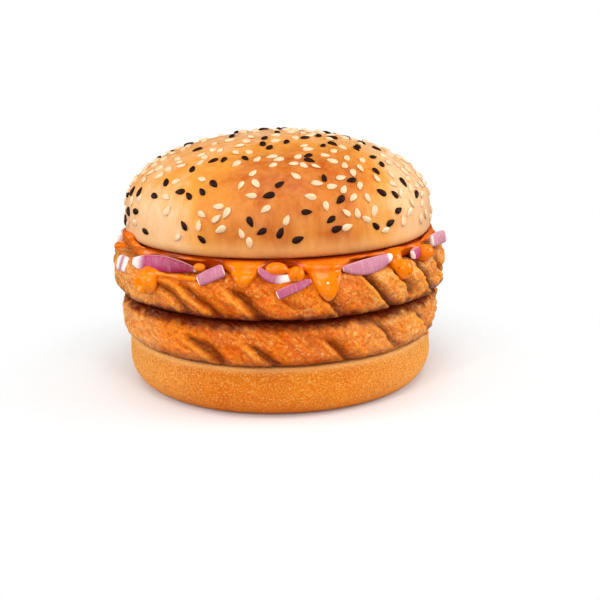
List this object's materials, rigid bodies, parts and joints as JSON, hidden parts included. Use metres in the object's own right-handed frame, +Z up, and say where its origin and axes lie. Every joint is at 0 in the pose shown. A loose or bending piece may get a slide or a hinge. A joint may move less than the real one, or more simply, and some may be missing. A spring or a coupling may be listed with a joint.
{
  "type": "double patty burger",
  "caption": "Burger with a sesame-seeded bun, scored grilled patties, red onion strips and an orange sauce that drips over the edge.",
  "frame": {"origin": "middle of the flat base of the lower bun half, on the surface that the burger stands on", "axes": "+Z up; -Y is the front, the side that the picture shows; +X to the right"},
  "size_m": [0.1105, 0.1129, 0.0812],
  "materials": {
    "bun_crust": "satin baked crust, golden brown and paler at the rim",
    "heel_bread": "matt, fine-grained soft bread",
    "grilled_patty": "browned and fibrous, darker in the scores, moist in places",
    "red_onion": "moist, lightly translucent, purple skin over paler flesh",
    "orange_sauce": "wet and glossy, with small dark flecks",
    "cream_seed": "satin hulled sesame",
    "black_seed": "slightly glossy black sesame"
  },
  "bodies": {
    "root": {"bun_heel": "heel_bread", "patty_lower": "grilled_patty", "patty_upper": "grilled_patty", "onion_01": "red_onion", "onion_02": "red_onion", "onion_03": "red_onion", "onion_04": "red_onion", "onion_05": "red_onion", "onion_06": "red_onion", "onion_07": "red_onion", "onion_08": "red_onion", "onion_09": "red_onion", "onion_10": "red_onion", "onion_11": "red_onion", "onion_12": "red_onion", "onion_13": "red_onion", "sauce": "orange_sauce", "bun_crown": "bun_crust"}
  },
  "joints": []
}
